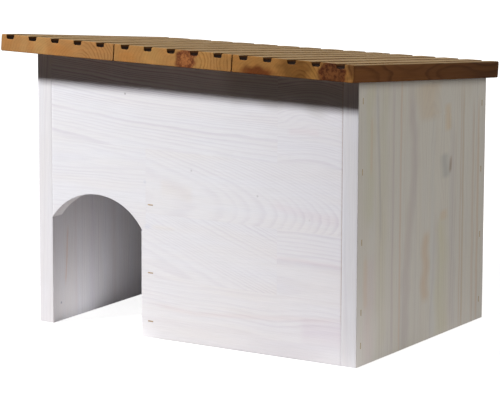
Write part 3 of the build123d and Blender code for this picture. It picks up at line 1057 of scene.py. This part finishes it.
def oiledLarchFinish():
    v = larchValues
    f = Finish("oiledLarch")
    grain = f.attribute("grain", "Vector")
    wander, rings = v["ringWander"]
    count = f.math("ADD", f.attribute("ring"), f.times(f.noise(grain, *wander), rings))
    pulse = f.ramp(f.math("FRACT", count), v["ring"])
    strong = f.times(pulse, f.fit(f.random(count), *v["ringVariety"]))
    blotch = f.noise(grain, *v["blotches"])
    onEnds = v["lineStrengths"][0]
    end = f.mix(f.times(strong, f.attribute("lines"), onEnds), v["end"], v["endLine"])
    end = f.mix(f.fit(blotch, 0.45, 0.75, 0.0, 0.4), end, v["endBlotch"])
    end = f.mix(f.pattern(grain, v["pores"]), end, v["endPore"])
    cut = f.attribute("cut")
    colour = f.mix(cut, boardFaceColour(f, strong, grain, blotch), end)
    # Knots are light in the middle and dark at the rim, with speckles
    rim = f.math("ADD", f.fit(f.attribute("knotRing"), 0.2, 0.8, 0.15, 0.85), f.pattern(grain, v["speckles"]))
    knot = f.times(f.attribute("knot"), f.math("MULTIPLY_ADD", cut, 0.85, 0.1))
    colour = f.mix(knot, colour, f.mix(rim, v["knotHeart"], v["knotRim"]))
    fibre = f.noise(grain, *v["fibre"])
    colour = f.shade(colour, f.fit(fibre, *v["fibreShade"]))
    colour = f.mix(cut, colour, f.mix(1.0, colour, f.attribute("tone", "Vector"), "MULTIPLY"))
    fibreShare, ringShare = v["reliefShares"]
    height = f.math("ADD", f.times(fibre, fibreShare), f.times(pulse, ringShare))
    return f.surface(colour, f.fit(fibre, *v["roughness"]), v["sheen"], height, *v["relief"])


oiledLarch = oiledLarchFinish()
pitchAngle = math.radians(houseValues["pitch"])


# From a board's x, thickness and length to the house: down the slope, over the walls
def roofPlace(x, z, along):
    v = boardValues
    startZ = houseValues["frontHeight"] + v["overhangFront"] * slope
    y = -v["overhangFront"] + along * math.cos(pitchAngle) + z * math.sin(pitchAngle)
    x = x - v["overhangLeft"]
    return x, y, startZ - along * math.sin(pitchAngle) + z * math.cos(pitchAngle) - roofSink(x, y)


# Each board's end is carried along its length, and each stands a width and a gap from the last one
def makeBoards():
    v = boardValues
    length = (v["overhangFront"] + houseValues["depth"] + v["overhangBack"]) / math.cos(pitchAngle)
    firstSeed = 3
    for i, board in enumerate(v["boards"]):
        depths = np.linspace(0, length, v["layers"] + 1)
        points, faces = slab(*boardFlat(board), depths, v["rounding"])
        corners = boardAttributes(points[faces], board, length, firstSeed + i)
        x, z, along = points.T
        house = np.stack(roofPlace(x + i * (v["width"] + v["gap"]), z, along), -1)
        makePiece(board["name"], house, faces, corners, oiledLarch, board["node"])


makeBoards()
print("roof boards made")

pineValues = {
    "wood": (0.56, 0.37, 0.19),
    "line": (0.36, 0.19, 0.08),
    "ringBands": ((0.004, 0.05, 0.05), 1),
    "ringCount": 14.0,
    "ring": [(0.0, 0.1), (0.8, 1.0), (1.0, 0.1)],
    "fibre": ((0.02, 0.9, 0.9), 5, 0.65),
    "fibreShade": (0.25, 0.75, 0.85, 1.08),
    "roughness": (0.3, 0.7, 0.75, 0.6),  # by the fibre
    "sheen": 0.5,
    "relief": (0.6, 0.0001),  # strength, and height in metres
}


def barePineFinish():
    v = pineValues
    f = Finish("barePine")
    millimetres = {0: f.here(), 1: (1000.0, 1000.0, 1000.0)}
    grain = f.node("ShaderNodeVectorMath", millimetres, operation="MULTIPLY").outputs[0]
    fibre = f.noise(grain, *v["fibre"])
    bands = f.times(f.noise(grain, *v["ringBands"]), v["ringCount"])
    pulse = f.ramp(f.math("FRACT", bands), v["ring"])
    colour = f.mix(f.times(pulse, 0.5), v["wood"], v["line"])
    colour = f.shade(colour, f.fit(fibre, *v["fibreShade"]))
    return f.surface(colour, f.fit(fibre, *v["roughness"]), v["sheen"], fibre, *v["relief"])


wireValues = {
    "tarnish": (0.28, 0.19, 0.10),
    "bright": (0.46, 0.35, 0.22),
    "spots": ((900.0, 900.0, 900.0), 3),  # in turns per metre
    "spotEdge": (0.35, 0.65),
    "roughness": (0.3, 0.7, 0.35, 0.6),
    "sheen": 0.5,
    "metallic": 0.35,
}


def stapleWireFinish():
    v = wireValues
    f = Finish("stapleWire")
    spots = f.noise(f.here(), *v["spots"])
    colour = f.mix(f.fit(spots, *v["spotEdge"]), v["tarnish"], v["bright"])
    f.give(f.shader.inputs["Metallic"], v["metallic"])
    return f.surface(colour, f.fit(spots, *v["roughness"]), v["sheen"])


finishes = {"bare_pine": barePineFinish(), "staple_wire": stapleWireFinish()}
for subpart in frame["record"]["subparts"]:
    if subpart["material_slot"] in finishes:
        mesh = frame["nodes"][subpart["node"]].data
        mesh.materials.clear()
        mesh.materials.append(finishes[subpart["material_slot"]])
print("battens and staples finished")

# Lamps: places in the house's millimetres, sizes in metres
lightValues = {
    # Aimed at the ground in front, so that its light fades a little to the right and the top
    "key": {"from": (-1440, -1800, 2281), "to": (-1300, -1760, 280), "size": (0.50, 0.50),
            "power": 232.0, "colour": (1.0, 1.0, 1.0)},
    "side": {"from": (2300, 300, 950), "to": (400, 140, 150), "size": (0.6, 1.8),
             "power": 17.8, "colour": (1.0, 0.94, 0.77)},
    "left": {"from": (-2400, 500, 900), "to": (100, 140, 150), "size": (1.6, 1.2),
             "power": 12.0, "colour": (1.0, 1.0, 1.0)},
    "back": {"from": (300, 2600, 1000), "to": (200, 200, 150), "size": (1.8, 1.2),
             "power": 16.0, "colour": (1.0, 1.0, 1.0)},
    "sky": 0.004,  # strength of the white world on the object
}


# Rectangular lamp that faces its target
def areaLight(name, values):
    data = bpy.data.lights.new(name, "AREA")
    data.shape = "RECTANGLE"
    data.size, data.size_y = values["size"]
    data.energy = values["power"]
    data.color = values["colour"]
    lamp = bpy.data.objects.new(name, data)
    bpy.context.scene.collection.objects.link(lamp)
    lamp.location = place(*values["from"])
    lamp.rotation_euler = (place(*values["to"]) - lamp.location).to_track_quat("-Z", "Y").to_euler()


for name in ("key", "side", "left", "back"):
    areaLight(name + "Light", lightValues[name])


# 1 for rays from the camera, a reflection or glass, and 0 for light that falls on the object
def seenDirectly(tree):
    path = tree.nodes.new("ShaderNodeLightPath")
    most = path.outputs["Is Camera Ray"]
    for name in ("Is Glossy Ray", "Is Transmission Ray"):
        joined = tree.nodes.new("ShaderNodeMath")
        joined.operation = "MAXIMUM"
        tree.links.new(most, joined.inputs[0])
        tree.links.new(path.outputs[name], joined.inputs[1])
        most = joined.outputs[0]
    return most


# World that looks white and lights the object only a little
def makeWorld():
    world = bpy.data.worlds.new("studio")
    bpy.context.scene.world = world
    world.use_nodes = True
    tree = world.node_tree
    tree.nodes.clear()
    choice = tree.nodes.new("ShaderNodeMixShader")
    out = tree.nodes.new("ShaderNodeOutputWorld")
    tree.links.new(seenDirectly(tree), choice.inputs[0])
    for socket, strength in ((1, lightValues["sky"]), (2, 1.0)):
        background = tree.nodes.new("ShaderNodeBackground")
        background.inputs["Color"].default_value = (1, 1, 1, 1)
        background.inputs["Strength"].default_value = strength
        tree.links.new(background.outputs[0], choice.inputs[socket])
    tree.links.new(choice.outputs[0], out.inputs[0])


makeWorld()

floorValues = {
    "half": 6.0,  # metres
    "seen": 0.45,  # how pale the floor looks under the lamps
    "near": 0.30,  # how much light it throws back beside the house
    "far": 0.03,
    "warmth": (1.0, 0.835, 0.73),
    "reach": (0.26, 0.55),  # metres from the middle of the house over which that fades
    "glow": (0.5, 1.0, 0.88, 1.0),  # its own light, by the distance: white where the lamps reach it
    # Middle, radius and strength of the pools of light that it throws up
    "pools": [((86, 40, 0), 85, 1.5), ((450, -20, 0), 130, 0.35), ((460, 190, 0), 140, 0.15)],
    "drop": 0.0003,  # metres below the walls
}


# Floor: a pale matt sheet whose own glow brings it to white wherever the object casts no shadow
def makeFloor():
    v = floorValues
    points = np.array([(-1, -1), (1, -1), (1, 1), (-1, 1)], float) * v["half"]
    mesh = bpy.data.meshes.new("floor")
    mesh.from_pydata(np.column_stack([points, np.full(4, -v["drop"])]).tolist(), [], [(0, 1, 2, 3)])
    floor = bpy.data.objects.new("floor", mesh)
    bpy.context.scene.collection.objects.link(floor)
    f = Finish("floorWhite")
    seen = seenDirectly(f.tree)
    away = f.node("ShaderNodeVectorMath", {0: f.here()}, operation="LENGTH").outputs["Value"]
    bounce = f.fit(away, *v["reach"], v["near"], v["far"])
    pale = f.node("ShaderNodeMix", {0: seen, 2: bounce, 3: v["seen"]}).outputs[0]
    f.surface(f.shade(f.mix(seen, v["warmth"], (1, 1, 1)), pale), 1.0, 0.0)
    level = f.fit(away, *v["glow"])
    pool = 0.0
    for where, radius, strength in v["pools"]:
        pool = f.math("MULTIPLY_ADD", f.spot(where, radius), strength, pool)
    upwards = f.node("ShaderNodeMix", {0: seen, 2: pool, 3: level}).outputs[0]
    glow = f.node("ShaderNodeEmission", {"Color": (1, 1, 1), "Strength": upwards})
    both = f.node("ShaderNodeAddShader", {0: f.shader.outputs[0], 1: glow.outputs[0]})
    f.tree.links.new(both.outputs[0], f.tree.nodes["Material Output"].inputs["Surface"])
    mesh.materials.append(f.material)


makeFloor()
print("lights, backdrop and floor made")
